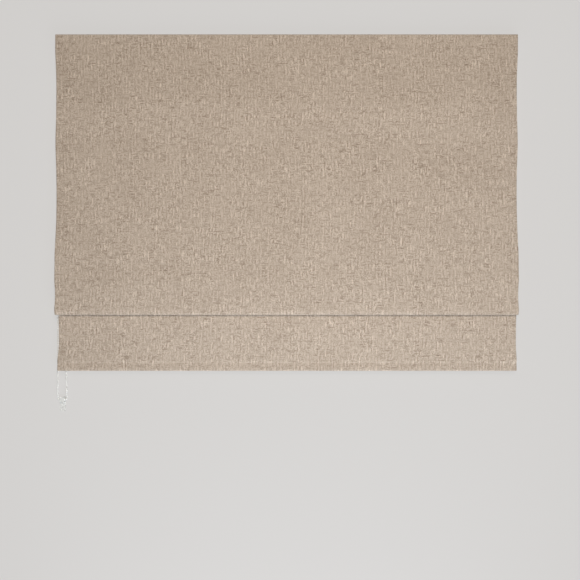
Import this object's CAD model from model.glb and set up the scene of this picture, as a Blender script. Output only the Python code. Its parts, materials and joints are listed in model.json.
"""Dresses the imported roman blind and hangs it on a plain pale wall.

The blind is cloth on a headrail: a linen-look face, a cotton lining, rods in sewn pockets, four lift
cords and a bead chain. Lengths are written in millimetres, as "out" from the wall and "drop" below the
blind's top edge, and spot() turns them into the frame's metres.
"""

from __future__ import annotations

import json
import logging
import math
from dataclasses import dataclass, field
from enum import Enum
from typing import Any, Sequence

import bpy
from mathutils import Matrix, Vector, noise

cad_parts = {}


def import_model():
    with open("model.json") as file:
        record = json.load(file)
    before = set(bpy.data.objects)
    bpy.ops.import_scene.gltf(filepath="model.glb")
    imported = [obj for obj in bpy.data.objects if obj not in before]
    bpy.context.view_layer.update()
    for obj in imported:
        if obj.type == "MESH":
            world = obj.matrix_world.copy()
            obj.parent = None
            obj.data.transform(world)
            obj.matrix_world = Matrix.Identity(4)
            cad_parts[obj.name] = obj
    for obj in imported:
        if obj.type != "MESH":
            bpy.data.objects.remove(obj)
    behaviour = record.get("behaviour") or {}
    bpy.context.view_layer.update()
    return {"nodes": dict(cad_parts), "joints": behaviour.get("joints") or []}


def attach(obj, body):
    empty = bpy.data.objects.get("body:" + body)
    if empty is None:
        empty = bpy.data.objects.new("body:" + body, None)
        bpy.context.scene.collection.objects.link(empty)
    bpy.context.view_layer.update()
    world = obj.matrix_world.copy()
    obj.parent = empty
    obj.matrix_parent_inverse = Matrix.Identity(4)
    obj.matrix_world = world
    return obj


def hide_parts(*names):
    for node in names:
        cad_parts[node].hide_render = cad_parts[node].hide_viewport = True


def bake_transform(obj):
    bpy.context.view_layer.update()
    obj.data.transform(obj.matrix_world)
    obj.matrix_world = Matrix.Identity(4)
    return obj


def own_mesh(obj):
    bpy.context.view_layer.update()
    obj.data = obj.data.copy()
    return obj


LOG = logging.getLogger("roman_blind")
MM = 0.001
Z_TOP = 21.0
CORD_XS = (-495.0, -165.0, 165.0, 495.0)
# Each fold rod's middle, as out and drop.
UPPER_ROD = (38.8, 278.0)
MIDDLE_ROD = (46.8, 582.0)
LOWER_ROD = (42.5, 594.1)
CORD_JOIN = 0.000001
CLOTH_MAP = "ClothMap"

Point = tuple[float, float, float]
Piece = bpy.types.Object
Tree = bpy.types.NodeTree
Node = bpy.types.Node
Socket = bpy.types.NodeSocket


def spot(x: float, out: float, drop: float) -> Point:
    """The frame's point, in metres, for a place given in millimetres."""
    return (x * MM, -out * MM, (Z_TOP - drop) * MM)


def ease(value: float) -> float:
    """A smooth step from 0 to 1."""
    t = min(1.0, max(0.0, value))
    return t * t * (3.0 - 2.0 * t)


def mix(a: float, b: float, t: float) -> float:
    """The value at share t between a and b."""
    return a + (b - a) * t


def spread(half: float, count: int) -> list[float]:
    """Places across the blind from side to side, evenly apart."""
    return [-half + 2.0 * half * k / count for k in range(count + 1)]


def on_circle(radius: float, degrees: float) -> tuple[float, float]:
    """A circle's point at an angle, from its centre."""
    a = math.radians(degrees)
    return (radius * math.cos(a), radius * math.sin(a))


def run_lengths(points: Sequence[tuple[float, float]]) -> list[float]:
    """Measures along a line of points.

    Args:
        points: The line, in side view.

    Returns:
        The length from the first point to each.
    """
    made = [0.0]
    for (a0, b0), (a1, b1) in zip(points, points[1:]):
        made.append(made[-1] + math.hypot(a1 - a0, b1 - b0))
    return made


# Finishes


def linear(code: str) -> tuple[float, float, float, float]:
    """Turns an sRGB hex colour into linear light.

    Args:
        code: Six hex digits.

    Returns:
        Red, green, blue and alpha for a colour socket.
    """
    parts = [int(code[i : i + 2], 16) / 255.0 for i in (0, 2, 4)]
    light = [p / 12.92 if p <= 0.04045 else ((p + 0.055) / 1.055) ** 2.4 for p in parts]
    return (light[0], light[1], light[2], 1.0)


def add_node(
    tree: Tree,
    kind: str,
    values: dict[str | int, Any] | None = None,
    links: dict[str | int, Socket] | None = None,
) -> Node:
    """Adds one shader node with its settings and links.

    Args:
        tree: The material's node tree.
        kind: The node's type, without the "ShaderNode" in front.
        values: Input sockets by name or number, or else properties of the node.
        links: Input sockets by name or number, with the output that feeds each.

    Returns:
        The new node.
    """
    made = tree.nodes.new("ShaderNode" + kind)
    for key, value in (values or {}).items():
        if not isinstance(key, int) and hasattr(made, key):
            setattr(made, key, value)
    for key, value in (values or {}).items():
        if isinstance(key, int) or not hasattr(made, key):
            made.inputs[key].default_value = value
    for key, source in (links or {}).items():
        tree.links.new(source, made.inputs[key])
    return made


def calculate(tree: Tree, operation: str, *terms: float | Socket) -> Socket:
    """Adds one sum to the nodes.

    Args:
        tree: The material's node tree.
        operation: Blender's name for the sum.
        terms: Its terms, each a number or the output that feeds it.

    Returns:
        The output with the result.
    """
    values: dict[str | int, Any] = {"operation": operation}
    links: dict[str | int, Socket] = {}
    for k, term in enumerate(terms):
        if isinstance(term, (int, float)):
            values[k] = term
        else:
            links[k] = term
    return add_node(tree, "Math", values, links).outputs[0]


def wave_scale(length: float) -> float:
    """The wave texture's scale for bands of a length in millimetres; it draws 20 bands in tau."""
    return math.tau / (20.0 * length * MM)


@dataclass(frozen=True)
class Finish:
    """A surface finish: a Principled shader and the patterns that its material shows."""

    name: str
    pale: str
    deep: str
    roughness: float
    ior: float = 1.5
    metallic: float = 0.0

    def material(self) -> bpy.types.Material:
        """Finds the Blender material, or makes it on first use.

        Returns:
            The material.
        """
        found = bpy.data.materials.get(self.name)
        if found:
            return found
        made = bpy.data.materials.new(self.name)
        made.use_nodes = True
        shader = made.node_tree.nodes["Principled BSDF"]
        shader.inputs["Roughness"].default_value = self.roughness
        shader.inputs["Metallic"].default_value = self.metallic
        if self.metallic == 0.0:
            shader.inputs["IOR"].default_value = self.ior
        self.draw(made.node_tree, shader)
        return made

    def draw(self, tree: Tree, shader: Node) -> None:
        """Adds the patterns; each kind of finish has its own."""
        raise NotImplementedError

    def tint(self, tree: Tree, shader: Node, share: Socket) -> None:
        """Colours the shader from deep to pale.

        Args:
            tree: The material's node tree.
            shader: The Principled shader.
            share: The pattern, where 0 is deep and 1 is pale.
        """
        values = {"data_type": "RGBA", 6: linear(self.deep), 7: linear(self.pale)}
        blend = add_node(tree, "Mix", values, {0: share})
        tree.links.new(blend.outputs[2], shader.inputs["Base Color"])

    def dent(self, tree: Tree, shader: Node, height: Socket, depth: float) -> None:
        """Raises the surface by a pattern.

        Args:
            tree: The material's node tree.
            shader: The Principled shader.
            height: The pattern, from 0 to 1.
            depth: The height of its 1, in millimetres.
        """
        bump = add_node(tree, "Bump", {"Strength": 1.0, "Distance": depth * MM}, {"Height": height})
        tree.links.new(bump.outputs["Normal"], shader.inputs["Normal"])


@dataclass(frozen=True)
class WovenCloth(Finish):
    """Plain weave, drawn on the cloth's own map: warp runs down it and weft across.

    Slubs, the thick places of each thread, are what the eye sees of it: short pale and dark dashes
    that run down and across, strong in some places and faint in others, with cloudy patches where the
    yarn changes shade. Slubs, flecks and ribs are drawn two to four times coarser than the real ones,
    which are finer than the render's pixels.
    """

    slub_width: float = 3.6
    slub_length: float = 17.0
    fleck: float = 3.2
    rib: float = 8.8
    patch: float = 14.0
    mottle: float = 45.0
    cloud: float = 120.0
    slub_share: float = 0.9
    rib_share: float = 0.2
    fleck_share: float = 0.55
    mottle_share: float = 0.28
    cloud_share: float = 0.14
    over: tuple[float, float] = (0.44, 0.62)
    apart: float = 7.3
    thread: float = 1.3
    thread_share: float = 0.4
    depth: float = 0.09
    sheen: float = 0.15

    def draw(self, tree: Tree, shader: Node) -> None:
        """Adds slubs, clouds and threads.

        Args:
            tree: The material's node tree.
            shader: The Principled shader.
        """
        place = add_node(tree, "UVMap", {"uv_map": CLOTH_MAP}).outputs["UV"]
        yarns: list[Socket] = []
        for wide, tall, detail in (
            (self.slub_width, self.slub_length, 1.0),
            (self.slub_length, self.slub_width, 1.0),
            (self.fleck, self.fleck, 0.0),
            (self.patch, self.patch, 1.0),
            (self.mottle, self.mottle, 1.0),
            (self.cloud, self.cloud, 2.0),
        ):
            size = (1.0 / (wide * MM), 1.0 / (tall * MM), 1.0)
            laid = {"Scale": size, "Location": (self.apart * len(yarns),) * 3}
            moved = add_node(tree, "Mapping", laid, {"Vector": place}).outputs[0]
            grain = {"noise_dimensions": "2D", "Scale": 1.0, "Detail": detail}
            yarns.append(add_node(tree, "TexNoise", grain, {"Vector": moved}).outputs["Fac"])
        warp, weft, fleck, ruling, mottled, cloudy = yarns
        wave = {"Scale": wave_scale(self.rib), "Distortion": 3.0, "Detail": 1.0, "Detail Scale": 1.5}
        ribs = add_node(tree, "TexWave", wave, {"Vector": place}).outputs["Fac"]
        warp = calculate(tree, "MULTIPLY_ADD", ribs, self.rib_share, warp)
        # Where the ruling noise is low the warp shows on top, with its ribs, and elsewhere the weft.
        over = {"interpolation_type": "SMOOTHSTEP", "From Min": self.over[0], "From Max": self.over[1]}
        which = add_node(tree, "MapRange", over, {"Value": ruling}).outputs[0]
        shade = add_node(tree, "Mix", {}, {0: which, 2: warp, 3: weft}).outputs[0]
        middle = 0.5 * (self.slub_share * (1.0 + 0.5 * self.rib_share) + self.fleck_share)
        shade = calculate(tree, "MULTIPLY_ADD", shade, self.slub_share, -middle)
        shade = calculate(tree, "MULTIPLY_ADD", fleck, self.fleck_share, shade)
        span = {
            "From Min": 0.3,
            "From Max": 0.7,
            "To Min": 1.0 - self.mottle_share,
            "To Max": 1.0 + self.mottle_share,
        }
        force = add_node(tree, "MapRange", span, {"Value": mottled}).outputs[0]
        shade = calculate(tree, "MULTIPLY", shade, force)
        cloudy = calculate(tree, "MULTIPLY_ADD", cloudy, self.cloud_share, 0.5 - 0.5 * self.cloud_share)
        both = {"operation": "ADD", "use_clamp": True}
        shade = add_node(tree, "Math", both, {0: shade, 1: cloudy}).outputs[0]
        self.tint(tree, shader, shade)
        # Threads finer than a pixel stand in the relief alone, as a soft grid.
        waves = []
        for way in ("X", "Y"):
            band = {"bands_direction": way, "Scale": wave_scale(self.thread), "Distortion": 0.0}
            waves.append(add_node(tree, "TexWave", band, {"Vector": place}).outputs["Fac"])
        grid = calculate(tree, "MULTIPLY", *waves)
        relief = calculate(tree, "MULTIPLY_ADD", grid, self.thread_share, shade)
        self.dent(tree, shader, relief, self.depth)
        shader.inputs["Sheen Weight"].default_value = self.sheen
        shader.inputs["Sheen Roughness"].default_value = 0.6
        shader.inputs["Specular IOR Level"].default_value = 0.25


@dataclass(frozen=True)
class Braid(Finish):
    """Braided cord: two sets of strands cross on the cord's own map, pale where they rise."""

    strand: float = 0.9
    depth: float = 0.08

    def draw(self, tree: Tree, shader: Node) -> None:
        """Adds the crossing strands.

        Args:
            tree: The material's node tree.
            shader: The Principled shader.
        """
        place = add_node(tree, "UVMap", {"uv_map": CLOTH_MAP}).outputs["UV"]
        waves = []
        for turn in (45.0, -45.0):
            laid = add_node(tree, "Mapping", {"Rotation": (0.0, 0.0, math.radians(turn))}, {"Vector": place})
            band = {"Scale": wave_scale(self.strand)}
            waves.append(add_node(tree, "TexWave", band, {"Vector": laid.outputs[0]}).outputs["Fac"])
        cross = calculate(tree, "MULTIPLY", *waves)
        self.tint(tree, shader, cross)
        self.dent(tree, shader, cross, self.depth)


@dataclass(frozen=True)
class Grained(Finish):
    """A moulded, coated or plated surface: a fine grain, with faint patches of wear or flow."""

    grain: float = 1.2
    grain_share: float = 0.35
    patch: float = 30.0
    stretch: tuple[float, float, float] = (1.0, 1.0, 1.0)
    depth: float = 0.02
    spread: float = 0.08
    clear: float = 0.0

    def draw(self, tree: Tree, shader: Node) -> None:
        """Adds the grain and the patches.

        Args:
            tree: The material's node tree.
            shader: The Principled shader.
        """
        place = add_node(tree, "TexCoord").outputs["Object"]
        laid = add_node(tree, "Mapping", {"Scale": self.stretch}, {"Vector": place}).outputs[0]
        fine = {"Scale": 1.0 / (self.grain * MM), "Detail": 2.0}
        grain = add_node(tree, "TexNoise", fine, {"Vector": laid}).outputs["Fac"]
        broad = {"Scale": 1.0 / (self.patch * MM), "Detail": 3.0}
        patch = add_node(tree, "TexNoise", broad, {"Vector": laid}).outputs["Fac"]
        both = calculate(tree, "MULTIPLY_ADD", grain, self.grain_share, patch)
        span = {"From Min": 0.45, "From Max": 0.95}
        self.tint(tree, shader, add_node(tree, "MapRange", span, {"Value": both}).outputs[0])
        rough = {"To Min": self.roughness - self.spread, "To Max": self.roughness + self.spread}
        duller = add_node(tree, "MapRange", rough, {"Value": patch}).outputs[0]
        tree.links.new(duller, shader.inputs["Roughness"])
        self.dent(tree, shader, grain, self.depth)
        if self.clear:
            shader.inputs["Transmission Weight"].default_value = self.clear


# Polyester and linen-look yarn, plain woven: matt, slubbed and warm beige, with no gloss.
LINEN = WovenCloth("slub_linen_weave", "d8c9b9", "8b7968", 0.92, 1.47)
# Cotton sateen: smooth, close and milky, with threads too fine to tell apart.
SATEEN = WovenCloth(
    "cotton_sateen_lining", "efeae0", "d9d2c5", 0.8, 1.47,
    slub_width=1.6, slub_length=22.0, slub_share=0.8, thread=0.8, depth=0.05, sheen=0.25,
)
# Woven cotton tape: a little whiter and coarser than the lining.
TAPE = WovenCloth(
    "woven_cotton_tape", "f1eee6", "d4cec2", 0.85, 1.47,
    slub_width=1.2, slub_length=5.0, slub_share=1.0, thread=1.0, depth=0.12, sheen=0.1,
)
# Hook and loop pile: a dull, fuzzy nap of nylon loops. Drawn coarser than its 0.3 mm loops to show.
PILE = Grained("nylon_hook_and_loop", "ece9e1", "c9c4b8", 0.9, 1.53, grain=0.9, patch=8.0, depth=0.5)
# Braided polyester: white, with a soft lustre.
CORD = Braid("braided_polyester_cord", "f2f1ec", "cfcdc5", 0.6, 1.57)
# Spun polyester thread: matched to the cloth that it sews.
THREAD = Grained("spun_polyester_thread", "c8b8a6", "a8967f", 0.8, 1.57, grain=0.4, patch=4.0)
PALE_THREAD = Grained("pale_polyester_thread", "f0ece3", "d2ccbf", 0.8, 1.57, grain=0.4, patch=4.0)
# Pultruded glass fibre: off-white and waxy, with glass drawn out along the rod.
GLASS_FIBRE = Grained(
    "pultruded_glass_fibre", "ece9df", "d5d0c2", 0.45, 1.53,
    grain=0.8, patch=6.0, stretch=(0.04, 1.0, 1.0), depth=0.03,
)
# Powder coat on aluminium: a satin white skin with a slight orange peel.
COATED = Grained("powder_coated_aluminium", "f0f0ed", "e2e2de", 0.42, 1.5, grain=1.6, patch=60.0, depth=0.03)
# Zinc plate on pressed steel: grey-blue, softly bright, with cloudy passivation.
ZINC = Grained(
    "zinc_plated_steel", "cfd2d3", "a4a9ac", 0.38, metallic=1.0, grain=1.0, patch=14.0, depth=0.015,
)
# Cold drawn steel: bright lines along the bar from the die.
DRAWN_STEEL = Grained(
    "cold_drawn_steel", "b9bab9", "8d8e8e", 0.34, metallic=1.0,
    grain=0.6, patch=9.0, stretch=(0.03, 1.0, 1.0), depth=0.015,
)
# Extruded aluminium as it leaves the mill: pale grey, with faint die lines.
MILL_ALUMINIUM = Grained(
    "mill_finish_aluminium", "d6d7d8", "b5b6b8", 0.4, metallic=1.0,
    grain=0.7, patch=12.0, stretch=(0.03, 1.0, 1.0), depth=0.015,
)
# Acetal and ABS mouldings: plain white with a low sheen and a fine spark-eroded grain.
MOULDED = Grained("moulded_white_abs", "f1f1ee", "e3e3df", 0.4, 1.53, grain=0.9, patch=18.0, depth=0.02)
# Glossy beads on polyester string: white, with small bright lights on each bead.
BEADS = Grained("glossy_bead_plastic", "f4f4f1", "e6e6e2", 0.22, 1.53, grain=0.8, patch=10.0, depth=0.008)
# Milky polycarbonate: lets some light through, so its edges look pale and its hollows soft.
MILKY = Grained(
    "milky_polycarbonate", "f3f3f0", "e5e5e1", 0.25, 1.58,
    grain=1.0, patch=12.0, depth=0.01, clear=0.25,
)


# Bodies and cloth


class Body(Enum):
    """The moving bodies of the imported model."""

    HEADRAIL = "headrail"
    DRIVE = "drive"
    UPPER = "upper_rod"
    MIDDLE = "middle_rod"
    LOWER = "lower_rod"


class Hold(Enum):
    """How a piece of cloth is held."""

    HUNG = "hung"
    FOLDED = "folded"
    STRETCHED = "stretched"


def select_only(piece: Piece) -> None:
    """Makes a piece the one that operators act on.

    Args:
        piece: The piece.
    """
    bpy.ops.object.select_all(action="DESELECT")
    piece.select_set(True)
    bpy.context.view_layer.objects.active = piece


def put(name: str, data: bpy.types.ID) -> Piece:
    """Makes an object and links it to the scene.

    Args:
        name: The object's name.
        data: Its mesh, light or camera.

    Returns:
        The new object, at the origin.
    """
    made = bpy.data.objects.new(name, data)
    bpy.context.scene.collection.objects.link(made)
    return made


def grid_mesh(
    name: str, rows: Sequence[Sequence[Point]], maps: Sequence[Sequence[tuple[float, float]]]
) -> Piece:
    """Makes a piece from rows of points, with the cloth's own map.

    Args:
        name: The piece's name.
        rows: Rows of points, in metres, all of one length.
        maps: The map's place of each point, in metres of cloth.

    Returns:
        The new object, at the origin.
    """
    wide = len(rows[0])
    points = [p for row in rows for p in row]
    places = [p for row in maps for p in row]
    faces = [
        (i * wide + k, i * wide + k + 1, (i + 1) * wide + k + 1, (i + 1) * wide + k)
        for i in range(len(rows) - 1)
        for k in range(wide - 1)
    ]
    mesh = bpy.data.meshes.new(name)
    mesh.from_pydata(points, [], faces)
    layer = mesh.uv_layers.new(name=CLOTH_MAP)
    for loop in mesh.loops:
        layer.data[loop.index].uv = places[loop.vertex_index]
    return put(name, mesh)


def weld(piece: Piece, reach: float, close: bool = False) -> None:
    """Joins a piece's points that meet.

    Args:
        piece: The piece.
        reach: How near they have to be, in metres.
        close: Whether its open ends are filled too.
    """
    select_only(piece)
    bpy.ops.object.mode_set(mode="EDIT")
    bpy.ops.mesh.select_all(action="SELECT")
    bpy.ops.mesh.remove_doubles(threshold=reach)
    if close:
        bpy.ops.mesh.select_all(action="DESELECT")
        bpy.ops.mesh.select_non_manifold()
        bpy.ops.mesh.edge_face_add()
        bpy.ops.mesh.select_all(action="SELECT")
        bpy.ops.mesh.normals_make_consistent(inside=False)
    bpy.ops.object.mode_set(mode="OBJECT")


def thicken(piece: Piece, thickness: float) -> None:
    """Gives a sheet its thickness, half to each side.

    Args:
        piece: The sheet, made as one layer.
        thickness: Its thickness in millimetres.
    """
    select_only(piece)
    wall = piece.modifiers.new("Thickness", "SOLIDIFY")
    wall.thickness = thickness * MM
    wall.offset = 0.0
    bpy.ops.object.modifier_apply(modifier=wall.name)
    bpy.ops.object.shade_smooth_by_angle(angle=math.radians(40.0))


def dress(piece: Piece, finish: Finish) -> None:
    """Gives a piece its one finish."""
    piece.data.materials.clear()
    piece.data.materials.append(finish.material())


def claim(piece: Piece, finish: Finish, nodes: Sequence[str]) -> None:
    """Dresses a piece and says what it stands for.

    Args:
        piece: The finished piece.
        finish: Its finish.
        nodes: The CAD nodes that it stands for.
    """
    dress(piece, finish)
    if nodes:
        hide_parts(*nodes)


def settle(piece: Piece, finish: Finish, slot: str, body: Body, *nodes: str) -> Piece:
    """Dresses a piece and puts it on its body.

    Args:
        piece: The finished piece.
        finish: Its finish.
        slot: The record's material slot.
        body: The body that it rides on.
        nodes: The CAD nodes that it stands for.

    Returns:
        The piece.
    """
    claim(piece, finish, nodes)
    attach(piece, body.value)
    LOG.info("%s: %d faces on %s", piece.name, len(piece.data.polygons), body.value)
    return piece


def stretch(
    piece: Piece,
    finish: Finish,
    slot: str,
    bodies: tuple[Body, Body],
    drops: tuple[float, float],
    *nodes: str,
) -> Piece:
    """Dresses a piece that crosses a joint and hangs it between two bodies.

    Args:
        piece: The finished piece.
        finish: Its finish.
        slot: The record's material slot.
        bodies: The body it leaves and the body it reaches.
        drops: Where it leaves the one and where it reaches the other.
        nodes: The CAD nodes that it stands for.

    Returns:
        The piece.
    """
    claim(piece, finish, nodes)
    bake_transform(piece)
    return piece


HEADRAIL_TO_UPPER = (Body.HEADRAIL, Body.UPPER)
UPPER_TO_MIDDLE = (Body.UPPER, Body.MIDDLE)
MIDDLE_TO_LOWER = (Body.MIDDLE, Body.LOWER)


@dataclass(frozen=True)
class Station:
    """A place on the cloth's mid line."""

    out: float
    drop: float
    dip: float
    along: float
    loose: float


@dataclass(frozen=True)
class Section:
    """A length of cloth between two marks, with the body or the two bodies that carry it.

    Its turnings and lining lie on the side given: 1 follows the line's back. The gathered fold's back
    layer has -1, the wall's side, where they stay behind the face when the blind comes down.
    """

    name: str
    marks: tuple[str, str]
    bodies: tuple[Body, ...]
    drops: tuple[float, float]
    hangs_from: str
    side: float = 1.0


@dataclass
class ClothLine:
    """The face fabric's mid line in side view, from the top edge down to the end of the hem."""

    face_out: float = 45.5
    bow_out: float = 49.4
    upper_out: float = 43.5
    middle_out: float = 51.5
    hang_out: float = 54.0
    cover_out: float = 48.4
    turn_out: float = 42.5
    panel_out: float = 34.2
    top_drop: float = 0.6
    rail_drop: float = 45.0
    upper_bend: float = 178.0
    upper_share: float = 0.6
    upper_drop: float = 278.0
    middle_bend: float = 436.7
    middle_share: float = 0.524
    middle_drop: float = 582.0
    hang_drop: float = 638.0
    fold_drop: float = 711.0
    cover_drop: float = 624.0
    turn_drop: float = 602.0
    waist_drop: float = 853.5
    hem_drop: float = 869.6
    hem_back: float = 860.0
    hem_rise: float = 855.0
    hem_top: float = 853.0
    hem_inner_out: float = 29.6
    rod_flat: float = 12.0
    fold_r: float = 5.5
    fold_depth: float = 15.0
    turn_r: float = 3.2
    hem_r: float = 2.9
    edge_dip: float = 4.0
    panel_dip: float = 2.0
    flare_drop: float = 800.0
    flare_length: float = 60.0
    left_draw: float = 4.5
    left_foot: float = 1.8
    left_edge: float = -600.0
    waist_depth: float = 1.5
    waist_reach: float = 3.8
    waist_run_out: float = 8.0
    hang_loose: float = 0.6
    panel_loose: float = 0.7
    slow_wave: tuple[float, float, float] = (260.0, 150.0, 4.2)
    slow_height: float = 1.3
    quick_wave: tuple[float, float, float] = (70.0, 55.0, 9.1)
    quick_height: float = 0.35
    step: float = 6.0
    hem_step: float = 1.2
    bend_steps: int = 16
    stations: list[Station] = field(default_factory=list)
    marks: dict[str, int] = field(default_factory=dict)

    def __post_init__(self) -> None:
        """Traces the line."""
        self._go(self.face_out, self.top_drop, 0.0, 0.0)
        self._mark("top")
        self._run(self.face_out, self.rail_drop)
        self._run(self.bow_out, self.upper_bend, self.edge_dip, (0.0, self.upper_share), 1.0)
        self._mark("upper_bend")
        rest = (self.upper_share, 1.0)
        self._run(self.upper_out, self.upper_drop - self.rod_flat, self.edge_dip, rest, 1.0)
        self._run(self.upper_out, self.upper_drop)
        self._mark("upper_rod")
        self._run(self.upper_out, self.upper_drop + self.rod_flat)
        part = self.middle_share
        bend_out = mix(self.upper_out, self.middle_out, part)
        self._run(bend_out, self.middle_bend, self.edge_dip, (0.0, part), 1.0)
        self._mark("middle_bend")
        self._run(self.middle_out, self.middle_drop - self.rod_flat, self.edge_dip, (part, 1.0), 1.0)
        self._run(self.middle_out, self.middle_drop)
        self._mark("middle_rod")
        self._run(self.middle_out, self.middle_drop + self.rod_flat)
        self._run(self.hang_out, self.hang_drop)
        self._run(self.hang_out, self.fold_drop, self.edge_dip / 2.0, (0.0, 1.0), self.hang_loose)
        self._bend(self.hang_out - self.fold_r, self.fold_drop, self.fold_r, 180.0, self.fold_depth)
        self._mark("fold")
        self._run(self.cover_out, self.cover_drop)
        self._run(self.turn_out + self.turn_r, self.turn_drop)
        self._mark("turn")
        self._bend(self.turn_out, self.turn_drop, self.turn_r, -180.0)
        dip, loose = self.panel_dip, self.panel_loose
        self._run(self.panel_out, self.flare_drop, dip, (0.0, 0.5), loose)
        self._run(self.panel_out, self.hem_top - self.rod_flat, dip, (0.5, 1.0), loose)
        self.step = self.hem_step
        self._run(self.panel_out, self.hem_drop)
        self._bend(self.panel_out - self.hem_r, self.hem_drop, self.hem_r, 180.0)
        self._mark("hem")
        self._run(self.panel_out - 2.0 * self.hem_r, self.hem_back)
        self._run(self.hem_inner_out, self.hem_rise)
        self._run(self.hem_inner_out, self.hem_top)
        self._mark("end")

    def _go(self, out: float, drop: float, dip: float, loose: float) -> None:
        """Adds one station.

        Args:
            out: Its distance from the wall.
            drop: Its drop below the top edge.
            dip: How far the sides draw in there.
            loose: How freely the cloth waves there.
        """
        along = 0.0
        if self.stations:
            last = self.stations[-1]
            along = last.along + math.hypot(out - last.out, drop - last.drop)
        self.stations.append(Station(out, drop, dip, along, loose))

    def _mark(self, name: str) -> None:
        """Names the last station."""
        self.marks[name] = len(self.stations) - 1

    def _run(
        self,
        out: float,
        drop: float,
        dip: float = 0.0,
        span: tuple[float, float] = (0.0, 1.0),
        loose: float = 0.0,
    ) -> None:
        """Adds a straight run whose sides draw in between its ends.

        Args:
            out: Where it ends, from the wall.
            drop: Where it ends, below the top edge.
            dip: How far the sides draw in at the middle.
            span: The share of that draw-in which this run covers.
            loose: How freely the cloth waves at the run's middle, from 0 to 1.
        """
        last = self.stations[-1]
        count = max(2, round(math.hypot(out - last.out, drop - last.drop) / self.step))
        for i in range(1, count + 1):
            t = i / count
            wave = math.sin(math.pi * mix(span[0], span[1], t))
            self._go(mix(last.out, out, t), mix(last.drop, drop, t), dip * wave, loose * wave)

    def _bend(self, out: float, drop: float, radius: float, turn: float, depth: float | None = None) -> None:
        """Adds a turn about a centre, from its outer side.

        Args:
            out: The centre, from the wall.
            drop: The centre, below the top edge.
            radius: The turn's reach along out.
            turn: The angle, in degrees.
            depth: The turn's reach along drop, where it isn't round.
        """
        for i in range(1, self.bend_steps + 1):
            a = math.radians(turn * i / self.bend_steps)
            self._go(out + radius * math.cos(a), drop + (depth or radius) * math.sin(a), 0.0, 0.0)

    def heading(self, i: int) -> tuple[float, float]:
        """The line's direction at a station.

        Args:
            i: The station.

        Returns:
            Its share along out and its share along drop.
        """
        a, b = self.stations[max(i - 1, 0)], self.stations[min(i + 1, len(self.stations) - 1)]
        long = math.hypot(b.out - a.out, b.drop - a.drop)
        return ((b.out - a.out) / long, (b.drop - a.drop) / long)

    def length(self, first: int, last: int) -> float:
        """The length of cloth between two stations, in metres."""
        return (self.stations[last].along - self.stations[first].along) * MM

    def _wave(self, size: tuple[float, float, float], x: float, along: float) -> float:
        """Noise from -1 to 1 on the cloth, of a size across and along, with a seed."""
        return noise.noise(Vector((x / size[0], along / size[1], size[2])))

    def lift(self, i: int, x: float) -> float:
        """How far the cloth stands forward of its mid line, from its slow waves and the sewn waist.

        Args:
            i: The station.
            x: The place across the blind.

        Returns:
            Millimetres towards the face's side.
        """
        s = self.stations[i]
        slow = self.slow_height * self._wave(self.slow_wave, x, s.along)
        quick = self.quick_height * self._wave(self.quick_wave, x, s.along)
        waist = 0.0
        if self.marks["turn"] < i <= self.marks["hem"]:
            below = s.drop - self.waist_drop
            reach = self.waist_run_out if below > 0.0 else self.waist_reach
            waist = self.waist_depth * math.exp(-((below / reach) ** 2))
        return s.loose * (slow + quick) - waist

    def draw_in(self, i: int, x: float) -> float:
        """How far the bottom panel's left side hangs in, down to where it flares out to the hem.

        Args:
            i: The station.
            x: The place across the blind.

        Returns:
            Millimetres to the right.
        """
        if i < self.marks["turn"] or x > 0.0:
            return 0.0
        fall = ease((self.stations[i].drop - self.flare_drop) / self.flare_length)
        return mix(self.left_draw, self.left_foot, fall) * x / self.left_edge

    def place(self, i: int, x: float, layer: float) -> Point:
        """A point of a layer that follows the line.

        Args:
            i: The station.
            x: The place across the blind.
            layer: The layer's distance behind the face fabric's mid layer.

        Returns:
            The point in the frame.
        """
        s = self.stations[i]
        go_out, go_drop = self.heading(i)
        back = layer - self.lift(i, x)
        return spot(x + self.draw_in(i, x), s.out - go_drop * back, s.drop + go_out * back)

    def sections(self) -> tuple[Section, ...]:
        """The cloth's lengths from joint to joint, down the line.

        Returns:
            The lengths.
        """
        still = (0.0, 0.0)
        upper = (self.upper_bend, self.upper_drop - self.rod_flat)
        middle = (self.middle_bend, self.middle_drop - self.rod_flat)
        lower = (self.fold_drop, self.turn_drop)
        return (
            Section("top", ("top", "upper_bend"), (Body.HEADRAIL,), still, "headrail"),
            Section("upper_fold", ("upper_bend", "upper_rod"), HEADRAIL_TO_UPPER, upper, "upper_rod"),
            Section("centre", ("upper_rod", "middle_bend"), (Body.UPPER,), still, "upper_rod"),
            Section("middle_fold", ("middle_bend", "middle_rod"), UPPER_TO_MIDDLE, middle, "middle_rod"),
            Section("front_hang", ("middle_rod", "fold"), (Body.MIDDLE,), still, "middle_rod"),
            Section("back_hang", ("fold", "turn"), MIDDLE_TO_LOWER, lower, "lower_rod", -1.0),
            Section("panel", ("turn", "end"), (Body.LOWER,), still, "lower_rod"),
        )


def hang(piece: Piece, finish: Finish, node: str, section: Section, flat: tuple[float, float]) -> Piece:
    """Args:
        piece: The length.
        finish: Its finish.
        node: The CAD node that it stands for, whose slot has the same name.
        section: Which length it is.
        flat: Its flat width and length, in metres.

    Returns:
        The piece.
    """
    if len(section.bodies) == 2:
        stretch(piece, finish, node, section.bodies, section.drops, node)
    else:
        settle(piece, finish, node, section.bodies[0], node)
    return piece


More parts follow.
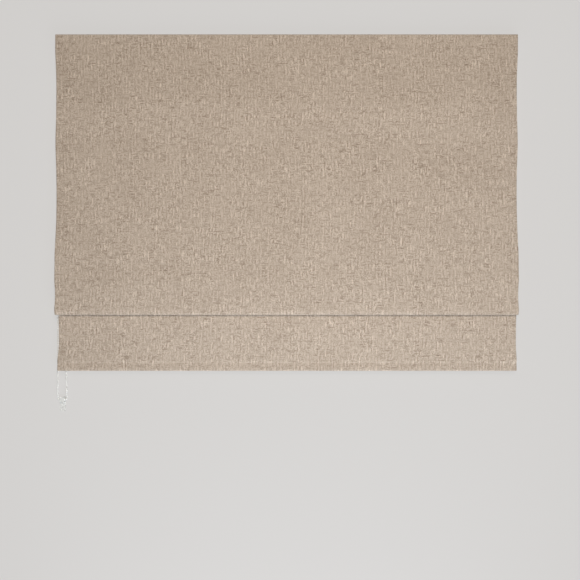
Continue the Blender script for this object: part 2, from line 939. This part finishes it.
@dataclass
class FaceCloth:
    """The linen-look face, one cut of cloth with its sides turned in, in lengths from joint to joint."""

    line: ClothLine
    half_width: float = 600.0
    thickness: float = 1.0
    side_turn: float = 25.0
    turn_columns: int = 4
    turn_angle: float = 22.5
    turn_layer: float = 2.0
    column: float = 8.0
    top_turn: float = 5.5
    top_flat: float = 0.01

    def across(self, dip: float) -> list[tuple[float, float, float]]:
        """The cloth's cross-section at one station.

        Args:
            dip: How far the sides draw in there.

        Returns:
            The place across, the layer and the length of cloth at each point, from side to side.
        """
        half = self.half_width - dip
        r = self.turn_layer / 2.0
        bend = half - self.thickness / 2.0 - r
        run = self.side_turn - (half - bend)
        side = [
            (half - self.side_turn + i * run / self.turn_columns, self.turn_layer)
            for i in range(self.turn_columns + 1)
        ]
        for k in range(-3, 4):
            right, back = on_circle(r, self.turn_angle * k)
            side.append((bend + right, r - back))
        count = round(2.0 * self.half_width / self.column)
        flat = [(bend - 2.0 * bend * i / count, 0.0) for i in range(count + 1)]
        line = side + flat + [(-x, layer) for x, layer in reversed(side)]
        return [(-x, layer, long) for (x, layer), long in zip(line, run_lengths(line))]

    def build(self) -> list[Piece]:
        """Returns:
            The pieces.
        """
        return [self._length(section) for section in self.line.sections()] + [self._top_edge()]

    def _length(self, section: Section) -> Piece:
        """Makes one length of the face.

        Args:
            section: Which length.

        Returns:
            The piece.
        """
        first, last = (self.line.marks[m] for m in section.marks)
        rows, maps = [], []
        for i in range(first, last + 1):
            station = self.line.stations[i]
            cut = self.across(station.dip)
            rows.append([self.line.place(i, x, section.side * layer) for x, layer, _ in cut])
            maps.append([(long * MM, -station.along * MM) for _, _, long in cut])
        piece = grid_mesh("face_" + section.name, rows, maps)
        thicken(piece, self.thickness)
        return hang(piece, LINEN, "face_fabric", section, (maps[0][-1][0], self.line.length(first, last)))

    def _top_edge(self) -> Piece:
        """Makes the top edge's turn-over, above the tape.

        Returns:
            The piece.
        """
        r = self.turn_layer / 2.0
        out, drop = self.line.face_out, self.line.top_drop
        turn = [on_circle(r, angle) for angle in range(0, 181, 20)]
        side = [(out - r + forward, drop - up) for forward, up in turn]
        side.append((out - 2.0 * r, drop + self.top_turn))
        half = self.half_width - self.thickness
        xs = spread(half, round(2.0 * half / self.column))
        rows = [[spot(x, o, d) for x in xs] for o, d in side]
        longs = run_lengths(side)
        maps = [[(x * MM, long * MM) for x in xs] for long in longs]
        piece = grid_mesh("face_top_edge", rows, maps)
        thicken(piece, self.thickness)
        settle(piece, LINEN, "face_fabric", Body.HEADRAIL, "face_fabric")
        return piece


@dataclass
class Lining:
    """The cotton lining behind the face, tucked into the side turnings."""

    line: ClothLine
    half_width: float = 598.7
    thickness: float = 0.4
    layer: float = 1.0
    column: float = 20.0
    hem_tuck: float = 1.5

    def build(self) -> list[Piece]:
        """Returns:
            The pieces.
        """
        return [self._length(section) for section in self.line.sections()]

    def _length(self, section: Section) -> Piece:
        """Makes one length of the lining.

        Args:
            section: Which length.

        Returns:
            The piece.
        """
        first, last = (self.line.marks[m] for m in section.marks)
        if section.marks[1] == "end":
            foot = self.line.waist_drop + self.hem_tuck
            last = next(i for i in range(first, last) if self.line.stations[i].drop > foot)
        count = round(2.0 * self.half_width / self.column)
        rows, maps = [], []
        for i in range(first, last + 1):
            station = self.line.stations[i]
            xs = spread(self.half_width - station.dip, count)
            rows.append([self.line.place(i, x, section.side * self.layer) for x in xs])
            maps.append([(x * MM, -station.along * MM) for x in xs])
        piece = grid_mesh("lining_" + section.name, rows, maps)
        thicken(piece, self.thickness)
        flat = (2.0 * self.half_width * MM, self.line.length(first, last))
        return hang(piece, SATEEN, "lining", section, flat)


@dataclass
class Stitching:
    """Rows of lockstitch: each stitch is a short thread that dips into the cloth at both ends."""

    pitch: float = 5.0
    length: float = 3.8
    width: float = 0.55
    pocket_half: float = 570.0
    pocket_front: float = 2.7
    pocket_apart: float = 6.5
    hem_half: float = 590.0
    hem_out: float = 33.2

    def build(self, pockets: Sequence[RodPocket], line: ClothLine) -> None:
        """Sews each pocket above and below its rod, and the hem along its waist.

        Args:
            pockets: The pockets that are sewn on.
            line: The face fabric's line.
        """
        for pocket in pockets:
            rod = pocket.name.split("_")[0]
            half, out = self.pocket_half, pocket.out + self.pocket_front
            for place, shift in (("above", -self.pocket_apart), ("below", self.pocket_apart)):
                name = f"{rod}_stitches_{place}"
                self.row(name, half, out, pocket.drop + shift, PALE_THREAD, "lining", pocket.body)
        place = (self.hem_half, self.hem_out, line.waist_drop)
        self.row("hem_stitches", *place, THREAD, "face_fabric", Body.LOWER)

    def row(
        self, name: str, half: float, out: float, drop: float, finish: Finish, slot: str, body: Body
    ) -> Piece:
        """Sews one row along the blind.

        Args:
            name: The piece's name.
            half: Half the row's length.
            out: The row's distance from the wall.
            drop: The row's drop.
            finish: The thread.
            slot: The record's material slot.
            body: The body that it rides on.

        Returns:
            The piece.
        """
        bpy.ops.object.select_all(action="DESELECT")
        bpy.ops.mesh.primitive_uv_sphere_add(segments=6, ring_count=4, radius=1.0, location=(0.0, 0.0, 0.0))
        piece = bpy.context.object
        piece.name = piece.data.name = name
        bpy.ops.object.mode_set(mode="EDIT")
        bpy.ops.mesh.select_all(action="SELECT")
        size = (self.length / 2.0 * MM, self.width / 2.0 * MM, self.width / 2.0 * MM)
        bpy.ops.transform.resize(value=size)
        bpy.ops.transform.translate(value=spot(-half + self.pitch / 2.0, out, drop))
        bpy.ops.object.mode_set(mode="OBJECT")
        repeat = piece.modifiers.new("Stitches", "ARRAY")
        repeat.use_relative_offset = False
        repeat.use_constant_offset = True
        repeat.constant_offset_displace = (self.pitch * MM, 0.0, 0.0)
        repeat.count = int(2.0 * half / self.pitch)
        bpy.ops.object.modifier_apply(modifier=repeat.name)
        bpy.ops.object.shade_smooth()
        return settle(piece, finish, slot, body)


@dataclass
class RodPocket:
    """A band of tape that wraps a fold rod from behind and is sewn to the lining above and below it."""

    name: str
    out: float
    drop: float
    body: Body
    rests_on: str
    sewn: bool = True
    half: float = 571.0
    radius: float = 2.95
    flange: float = 10.0
    flange_layer: float = 3.0
    flange_steps: int = 5
    flange_end: float = 3.6
    neck: tuple[float, float] = (1.2, 3.3)
    pucker: float = 0.18
    pucker_reach: float = 0.5
    pucker_length: float = 11.0
    pucker_seed: float = 2.0
    thickness: float = 0.5
    column: float = 7.0
    join: float = 0.00001

    def outline(self) -> list[tuple[float, float]]:
        """The band's side view.

        Returns:
            Out and drop of each point, relative to the rod.
        """
        if not self.sewn:
            return [on_circle(self.radius, a) for a in range(90, 451, 15)]
        arc = [on_circle(self.radius, a) for a in range(235, 124, -11)]
        run = self.flange - self.flange_end
        steps = range(self.flange_steps + 1)
        top = [(self.flange_layer, -self.flange + i * run / self.flange_steps) for i in steps]
        foot = [(o, -d) for o, d in reversed(top)]
        out, drop = self.neck
        return top + [(out, -drop)] + arc + [(out, drop)] + foot

    def _loose(self, x: float, out: float, drop: float) -> float:
        """How far the band puckers in between stitches.

        Args:
            x: The place across the blind.
            out: The place in the band's side view, from the rod.
            drop: The same, down from the rod.

        Returns:
            Millimetres towards the wall.
        """
        if not self.sewn:
            return 0.0
        near = ease((self.radius + self.pucker_reach - math.hypot(out, drop)) / self.pucker_reach)
        wave = noise.noise(Vector((x / self.pucker_length, drop, self.pucker_seed)))
        return self.pucker * near * abs(wave)

    def build(self) -> Piece:
        """Makes the band, its puckers between stitches and its declaration as cloth.

        Returns:
            The piece.
        """
        outline = self.outline()
        longs = run_lengths(outline)
        xs = spread(self.half, round(2.0 * self.half / self.column))
        rows, maps = [], []
        for (o, d), long in zip(outline, longs):
            rows.append([spot(x, self.out + o - self._loose(x, o, d), self.drop + d) for x in xs])
            maps.append([(x * MM, long * MM) for x in xs])
        piece = grid_mesh(self.name + "_band", rows, maps)
        if not self.sewn:
            weld(piece, self.join)
        thicken(piece, self.thickness)
        settle(piece, TAPE, "lining", self.body, self.name)
        return piece


@dataclass
class GripTape:
    """The hook tape on the headrail and the loop tape on the cloth's back, which hold the blind up."""

    half: float = 571.0
    top: float = 8.0
    height: float = 20.0
    hook_out: float = 41.0
    thickness: float = 1.5
    core_share: float = 0.9
    nap: float = 0.05
    nap_length: float = 6.0
    hook_seed: float = 3.0
    loop_seed: float = 7.0
    columns: int = 190
    steps: int = 12

    def build(self) -> list[Piece]:
        """Makes both tapes.

        Returns:
            The pieces.
        """
        return [
            self._tape("hook_strip", "hook_tape", self.hook_out, self.hook_seed),
            self._tape("loop_strip", "loop_tape", self.hook_out + self.thickness, self.loop_seed),
        ]

    def _tape(self, name: str, node: str, out: float, seed: float) -> Piece:
        """Makes one tape as a strip with a selvedge at each edge and a nap between.

        Args:
            name: The piece's name.
            node: The CAD node that it stands for.
            out: Its back face.
            seed: The nap's place in the noise.

        Returns:
            The piece.
        """
        middle = out + self.thickness / 2.0
        xs = spread(self.half, self.columns)
        rows, maps = [], []
        for j in range(self.steps + 1):
            t = j / self.steps
            drop = self.top + t * self.height
            nap = self.nap * ease(min(t, 1.0 - t) * self.steps)
            waves = [noise.noise(Vector((x / self.nap_length, drop, seed))) for x in xs]
            rows.append([spot(x, middle + nap * wave, drop) for x, wave in zip(xs, waves)])
            maps.append([(x * MM, drop * MM) for x in xs])
        piece = grid_mesh(name, rows, maps)
        thicken(piece, self.core_share * self.thickness)
        settle(piece, PILE, "tape", Body.HEADRAIL, node)
        return piece


# Cords


def tube(name: str, points: Sequence[Point], radii: Sequence[float], sides: int) -> Piece:
    """Makes a round cord along points, with its own map.

    Args:
        name: The piece's name.
        points: The cord's mid line, in metres.
        radii: Half the cord's thickness at each point, in millimetres.
        sides: Faces round it.

    Returns:
        The piece, closed at both ends.
    """
    line = [Vector(p) for p in points]
    rows, maps, long = [], [], 0.0
    side = Vector((1.0, 0.0, 0.0))
    for i, p in enumerate(line):
        way = (line[min(i + 1, len(line) - 1)] - line[max(i - 1, 0)]).normalized()
        side = (side - way * side.dot(way)).normalized()
        up = way.cross(side)
        if i:
            long += (p - line[i - 1]).length
        radius = radii[i] * MM
        turns = [math.tau * k / sides for k in range(sides + 1)]
        rows.append([tuple(p + (side * math.cos(a) + up * math.sin(a)) * radius) for a in turns])
        maps.append([(radius * a, long) for a in turns])
    piece = grid_mesh(name, rows, maps)
    weld(piece, CORD_JOIN, close=True)
    bpy.ops.object.shade_smooth_by_angle(angle=math.radians(50.0))
    return piece


@dataclass
class LiftCord:
    """One lift cord: wound on its spool, then down through two guides to its anchor."""

    number: int
    x: float
    joints: dict[str, dict[str, Any]]
    diameter: float = 1.4
    out: float = 31.8
    exit_drop: float = 39.0
    upper: tuple[float, float] = (31.5, 278.0)
    middle: tuple[float, float] = (38.3, 582.0)
    below: tuple[float, float] = (38.3, 584.7)
    anchor: tuple[float, float] = (35.8, 587.4)
    end: tuple[float, float] = (35.8, 591.1)
    spool_out: float = 24.0
    spool_drop: float = 21.0
    wound_radius: float = 7.8
    wound_start: float = 1.9
    wound_share: float = 0.97
    wound_sides: int = 8
    turns: int = 11
    around: int = 28
    spacing: float = 8.0
    sides: int = 10

    def build(self) -> list[Piece]:
        """Makes the cord's lengths and its turns on the spool.

        Returns:
            The pieces.
        """
        node = f"lift_cord_{self.number}"
        route = [(self.out, self.spool_drop), (self.out, self.exit_drop), self.upper]
        first = self._length("upper", route)
        settle(first, CORD, "lift_cord", Body.HEADRAIL, node)
        self._take_up(first)
        second = self._length("middle", [self.upper, self.middle])
        settle(second, CORD, "lift_cord", Body.UPPER, node)
        self._take_up(second)
        third = self._length("lower", [self.middle, self.below, self.anchor, self.end])
        stretch(third, CORD, "lift_cord", MIDDLE_TO_LOWER, (self.below[1], self.anchor[1]), node)
        return [first, second, third, self._wound()]

    def _take_up(
        self, piece: Piece
    ) -> None:
        """Shortens a length from below as its rod rises, along the rod's own path.

        Args:
            piece: The length.
        """
        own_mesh(piece)

    def _line(self, corners: Sequence[tuple[float, float]]) -> list[Point]:
        """Sets points down the cord, close enough together to bend.

        Args:
            corners: Out and drop of each corner.

        Returns:
            The points in the frame.
        """
        made = [spot(self.x, *corners[0])]
        for (o0, d0), (o1, d1) in zip(corners, corners[1:]):
            count = max(2, round(math.hypot(o1 - o0, d1 - d0) / self.spacing))
            for i in range(1, count + 1):
                made.append(spot(self.x, mix(o0, o1, i / count), mix(d0, d1, i / count)))
        return made

    def _length(self, part: str, corners: Sequence[tuple[float, float]]) -> Piece:
        """One length of the cord."""
        line = self._line(corners)
        return tube(f"cord_{self.number}_{part}", line, [self.diameter / 2.0] * len(line), self.sides)

    def _wound(self) -> Piece:
        """Lays the turns on the spool, side by side.

        Returns:
            The piece.
        """
        points, steps = [], self.turns * self.around
        start = self.x + self.wound_start + self.diameter / 2.0
        for k in range(steps + 1):
            a = math.tau * k / self.around
            out = self.spool_out + self.wound_radius * math.cos(a)
            drop = self.spool_drop + self.wound_radius * math.sin(a)
            points.append(spot(start + self.diameter * (self.turns - 1) * k / steps, out, drop))
        radii = [self.wound_share * self.diameter / 2.0] * len(points)
        piece = tube(f"cord_{self.number}_wound", points, radii, self.wound_sides)
        return settle(piece, CORD, "lift_cord", Body.DRIVE, f"wound_cord_{self.number}")


class Push(Enum):
    """Where the raised cloth pushes a strand of the chain."""

    LEFT = (-1.0, 0.0, 0.0)
    WALL = (0.0, 1.0, 0.0)


@dataclass
class BeadChain:
    """The control chain: one closed loop of beads, from the chain wheel down to the clip on the wall.

    It is made in lengths, because the raised cloth pushes its strands aside: the front one goes to the
    left and the rear one to the wall, and both come back below the cloth.
    """

    bead_d: float = 4.5
    pitch: float = 6.0
    wheel_pockets: int = 12
    wheel_x: float = -593.4
    shaft_out: float = 24.0
    shaft_drop: float = 21.0
    clip_x: float = -592.3
    clip_out: float = 8.0
    clip_drop: float = 943.0
    clip_r: float = 11.9
    joiner_l: float = 10.0
    string_angle: float = 72.0
    string_share: float = 0.98
    bands: int = 5
    sides: int = 8
    cuts: tuple[float, float, float, float] = (45.0, 112.0, 392.0, 466.0)
    left_push: float = 8.4
    wall_push: float = 8.2
    slant: float = 0.45
    far: float = 80.0
    spare: float = 4.2

    def __post_init__(self) -> None:
        """Works out the loop's lengths."""
        self.wheel_r = self.wheel_pockets * self.pitch / math.tau
        self.front = (
            (self.wheel_x, self.shaft_out + self.wheel_r, self.shaft_drop),
            (self.clip_x - self.clip_r, self.clip_out, self.clip_drop),
        )
        self.rear = (
            (self.clip_x + self.clip_r, self.clip_out, self.clip_drop),
            (self.wheel_x, self.shaft_out - self.wheel_r, self.shaft_drop),
        )
        self.ends = [math.pi * self.wheel_r]
        for more in (math.dist(*self.front), math.pi * self.clip_r, math.dist(*self.rear)):
            self.ends.append(self.ends[-1] + more)
        self.count = round(self.ends[-1] / self.pitch)
        self.step = self.ends[-1] / self.count

    def point(self, along: float) -> Point:
        """The chain's mid line.

        Args:
            along: The length along it, from the wheel's wall side over its top.

        Returns:
            The point in the frame.
        """
        s = along % self.ends[-1]
        if s < self.ends[0]:
            a = math.pi * s / self.ends[0]
            out = self.shaft_out - self.wheel_r * math.cos(a)
            return spot(self.wheel_x, out, self.shaft_drop - self.wheel_r * math.sin(a))
        if s < self.ends[1]:
            t = (s - self.ends[0]) / (self.ends[1] - self.ends[0])
            return spot(*(mix(a, b, t) for a, b in zip(*self.front)))
        if s < self.ends[2]:
            a = math.pi * (s - self.ends[1]) / (self.ends[2] - self.ends[1])
            x = self.clip_x - self.clip_r * math.cos(a)
            return spot(x, self.clip_out, self.clip_drop + self.clip_r * math.sin(a))
        t = (s - self.ends[2]) / (self.ends[3] - self.ends[2])
        return spot(*(mix(a, b, t) for a, b in zip(*self.rear)))

    def build(self) -> list[Piece]:
        """Makes the chain's lengths and says how the cloth pushes them.

        Returns:
            The pieces.
        """
        fall = self.clip_drop - self.shaft_drop
        shares = [(cut - self.shaft_drop) / fall for cut in self.cuts]
        front = [int((self.ends[0] + t * (self.ends[1] - self.ends[0])) / self.step) for t in shares]
        rear = [int((self.ends[3] - t * (self.ends[3] - self.ends[2])) / self.step) for t in shares]
        made = [
            self._beads("chain_wheel_turn", rear[0] + 1 - self.count, front[0]),
            self._beads("chain_foot", front[3] + 1, rear[3]),
        ]
        for name, marks, way, push in (
            ("front", front, Push.LEFT, self.left_push),
            ("rear", rear, Push.WALL, self.wall_push),
        ):
            for part, k, slant in (("top", 0, self.slant), ("middle", 1, 0.0), ("foot", 2, -self.slant)):
                low, high = min(marks[k], marks[k + 1]), max(marks[k], marks[k + 1])
                piece = self._beads(f"chain_{name}_{part}", low + 1, high)
                ends = [Vector(self.point((m + 0.5) * self.step)) for m in (marks[k], marks[k + 1])]
                if part == "foot":
                    ends.reverse()
                self._give(piece, ends, way, slant)
                made.append(piece)
        return made

    def _beads(self, name: str, first: int, last: int) -> Piece:
        """Makes a length of beads on their string, which runs on a little way into the next bead.

        Args:
            name: The piece's name.
            first: The number of its first bead.
            last: The number of its last bead.

        Returns:
            The piece.
        """
        r, joiner = self.bead_d / 2.0, (self.ends[2] + self.ends[3]) / 2.0
        thin = self.string_share * r * math.cos(math.radians(self.string_angle))
        start, stop = (first - 0.5) * self.step, (last + 0.5) * self.step
        rings = [(self.point(start - self.spare), thin), (self.point(start), thin)]
        for k in range(first, last + 1):
            if abs(k * self.step - joiner) <= (self.joiner_l + self.bead_d) / 2.0:
                continue
            middle = Vector(self.point(k * self.step))
            way = (Vector(self.point(k * self.step + r)) - Vector(self.point(k * self.step - r))).normalized()
            for i in range(self.bands + 1):
                a = math.radians(self.string_angle * (2.0 * i / self.bands - 1.0))
                rings.append((tuple(middle + way * r * math.sin(a) * MM), r * math.cos(a)))
        rings += [(self.point(stop), thin), (self.point(stop + self.spare), thin)]
        piece = tube(name, [place for place, _ in rings], [radius for _, radius in rings], self.sides)
        return settle(piece, BEADS, "chain_plastic", Body.HEADRAIL, "bead_chain")

    def _give(
        self, piece: Piece, ends: Sequence[Vector], way: Push, slant: float
    ) -> None:
        """Lets a length be pushed aside as the middle rod rises.

        Args:
            piece: The length.
            ends: The end that stays and the end that moves.
            way: Where it goes.
            slant: The rise of the push; 0 moves the whole length alike.
        """
        side = Vector(way.value)
        stays, moves = ends
        if slant == 0.0:
            moves = (stays + moves) / 2.0
            stays = moves + side * self.far * MM
        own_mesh(piece)


# Hardware


@dataclass(frozen=True)
class Hardware:
    """The rigid pieces, whose CAD solids stay and take their finishes here."""

    def finishes(self) -> dict[str, Finish]:
        """Lists the finish of each CAD node that shows.

        Returns:
            The finishes by node.
        """
        made: dict[str, Finish] = {
            "headrail": COATED,
            "drive_shaft": DRAWN_STEEL,
            "clutch_spring": DRAWN_STEEL,
            "bottom_bar": MILL_ALUMINIUM,
            "chain_joiner": MILKY,
            "chain_clip": MILKY,
            "upper_guides": MILKY,
            "middle_guides": MILKY,
            "cord_anchors": MILKY,
        }
        made.update({f"bracket_{side}": ZINC for side in ("left", "middle", "right")})
        made.update({f"{rod}_rod": GLASS_FIBRE for rod in ("upper", "middle", "lower")})
        made.update({f"{kind}_{i}": MOULDED for kind in ("cord_spool", "spool_cradle") for i in range(1, 5)})
        control = ("control_housing", "control_cover", "chain_wheel", "clutch_driver")
        made.update({node: MOULDED for node in control + ("end_cap_right", "shaft_bush")})
        return made

    def dress(self, nodes: dict[str, Piece]) -> None:
        """Gives each CAD node its finish.

        Args:
            nodes: The loaded CAD nodes by name.
        """
        for name, finish in self.finishes().items():
            dress(nodes[name], finish)
            LOG.info("%s: %s", name, finish.name)


# The room


@dataclass(frozen=True)
class Lamp:
    """A square soft lamp: its place and side in metres, its power in watts and its tint."""

    name: str
    place: Point
    side: float
    power: float
    colour: str


WARM = "fff5e8"
COOL = "eaf4ff"
PLAIN = "ffffff"
LAMPS = (
    Lamp("key_light", (0.42, -1.7, -1.6), 1.0, 17.6, COOL),
    Lamp("front_light", (0.2, -2.6, 0.15), 0.4, 35.0, WARM),
    Lamp("low_light", (-0.05, -0.45, -1.6), 1.2, 5.5, COOL),
    Lamp("rear_light_-1", (-2.3, 1.8, 0.4), 1.5, 52.0, PLAIN),
    Lamp("rear_light_+1", (2.3, 1.8, 0.4), 1.5, 52.0, PLAIN),
)


@dataclass
class Room:
    """A plain pale wall and floor, soft studio light and the camera."""

    wall_colour: str = "d5d3d1"
    floor_drop: float = 2300.0
    reach: float = 6.0
    wall_gap: float = 0.0002
    camera_out: float = 2046.0
    camera_drop: float = 661.9
    lens: float = 47.9
    shift: float = 0.0059
    world_strength: float = 0.13
    aim: Point = (0.0, -0.04, -0.42)
    glow: float = 0.85

    def build(self) -> None:
        """Makes the wall, the floor, the light and the camera."""
        self._wall()
        self._floor()
        self._world()
        for lamp in LAMPS:
            self._light(lamp)
        self._camera()

    def _plaster(self, name: str, see_through: bool) -> bpy.types.Material:
        """Matt emulsion on plaster: pale and even, with no shine.

        Args:
            name: The material's name.
            see_through: Whether its back is clear, so that the blind shows from behind.

        Returns:
            The material.
        """
        made = bpy.data.materials.new(name)
        made.use_nodes = True
        tree = made.node_tree
        shader = tree.nodes["Principled BSDF"]
        shader.inputs["Base Color"].default_value = linear(self.wall_colour)
        shader.inputs["Roughness"].default_value = 0.95
        shader.inputs["Specular IOR Level"].default_value = 0.1
        glow = add_node(tree, "Emission", {"Color": linear(self.wall_colour), "Strength": 1.0}).outputs[0]
        seen = add_node(tree, "LightPath").outputs["Is Camera Ray"]
        share = calculate(tree, "MULTIPLY", seen, self.glow)
        lit = add_node(tree, "MixShader", {}, {0: share, 1: shader.outputs[0], 2: glow}).outputs[0]
        if see_through:
            side = add_node(tree, "NewGeometry").outputs["Backfacing"]
            clear = add_node(tree, "BsdfTransparent").outputs[0]
            lit = add_node(tree, "MixShader", {}, {0: side, 1: lit, 2: clear}).outputs[0]
        tree.links.new(lit, tree.nodes["Material Output"].inputs["Surface"])
        return made

    def _plane(self, name: str, corners: Sequence[Point], see_through: bool) -> Piece:
        """Makes one flat side of the room, as stage.

        Args:
            name: Its name.
            corners: Its four corners, in metres.
            see_through: Whether its back is clear.

        Returns:
            The side.
        """
        mesh = bpy.data.meshes.new(name)
        mesh.from_pydata(list(corners), [], [(0, 1, 2, 3)])
        piece = put(name, mesh)
        piece.data.materials.append(self._plaster(name + "_plaster", see_through))
        return piece

    def _wall(self) -> None:
        """The wall behind the blind; it takes shadows and holds none of the light from the blind's back."""
        r, y, low = self.reach, self.wall_gap, (Z_TOP - self.floor_drop) * MM
        corners = [(-r, y, low), (r, y, low), (r, y, r), (-r, y, r)]
        wall = self._plane("wall", corners, True)
        wall.visible_shadow = False
        wall.visible_diffuse = False
        wall.visible_glossy = False
        wall.visible_transmission = False

    def _floor(self) -> None:
        """The floor below the blind."""
        r, low = self.reach, (Z_TOP - self.floor_drop) * MM
        self._plane("floor", [(-r, -r, low), (r, -r, low), (r, r, low), (-r, r, low)], False)

    def _world(self) -> None:
        """Even light from all round."""
        world = bpy.data.worlds.new("studio")
        bpy.context.scene.world = world
        world.use_nodes = True
        tree = world.node_tree
        ground = tree.nodes["Background"]
        ground.inputs["Color"].default_value = linear(PLAIN)
        ground.inputs["Strength"].default_value = self.world_strength
        seen = add_node(tree, "Background", {"Color": linear(self.wall_colour), "Strength": 1.0})
        rays = add_node(tree, "LightPath")
        either = rays.outputs["Is Camera Ray"]
        for kind in ("Is Glossy Ray", "Is Transmission Ray"):
            either = calculate(tree, "MAXIMUM", either, rays.outputs[kind])
        view = add_node(tree, "MixShader", {}, {0: either, 1: ground.outputs[0], 2: seen.outputs[0]})
        tree.links.new(view.outputs[0], tree.nodes["World Output"].inputs["Surface"])

    def _light(self, lamp: Lamp) -> None:
        """Hangs one soft lamp that looks at the middle of the blind.

        Args:
            lamp: The lamp.
        """
        data = bpy.data.lights.new(lamp.name, "AREA")
        data.shape = "SQUARE"
        data.size = lamp.side
        data.energy = lamp.power
        data.color = linear(lamp.colour)[:3]
        made = put(lamp.name, data)
        made.location = lamp.place
        made.visible_camera = False
        aim = Vector(self.aim) - Vector(lamp.place)
        made.rotation_euler = aim.to_track_quat("-Z", "Y").to_euler()

    def _camera(self) -> None:
        """The camera, level and square to the blind."""
        data = bpy.data.cameras.new("camera")
        data.sensor_width = 36.0
        data.lens = self.lens
        data.shift_x = self.shift
        camera = put("camera", data)
        camera.location = spot(0.0, self.camera_out, self.camera_drop)
        camera.rotation_euler = (math.radians(90.0), 0.0, 0.0)
        bpy.context.scene.camera = camera


# The whole blind


def main() -> None:
    """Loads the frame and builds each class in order."""
    logging.basicConfig(level=logging.INFO, format="%(message)s")
    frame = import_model()
    bpy.context.scene.view_settings.view_transform = "Standard"
    Room().build()
    Hardware().dress(frame["nodes"])
    joints = {joint["name"]: joint for joint in frame["joints"]}
    for number, x in enumerate(CORD_XS, start=1):
        LiftCord(number, x, joints).build()
    BeadChain().build()
    line = ClothLine()
    FaceCloth(line).build()
    Lining(line).build()
    GripTape().build()
    pockets = (
        RodPocket("upper_pocket", *UPPER_ROD, Body.UPPER, "lining_centre"),
        RodPocket("middle_pocket", *MIDDLE_ROD, Body.MIDDLE, "lining_front_hang"),
        RodPocket("lower_pocket", *LOWER_ROD, Body.LOWER, "lower_rod", sewn=False),
    )
    for pocket in pockets:
        pocket.build()
    Stitching().build([pocket for pocket in pockets if pocket.sewn], line)


if __name__ == "__main__":
    main()
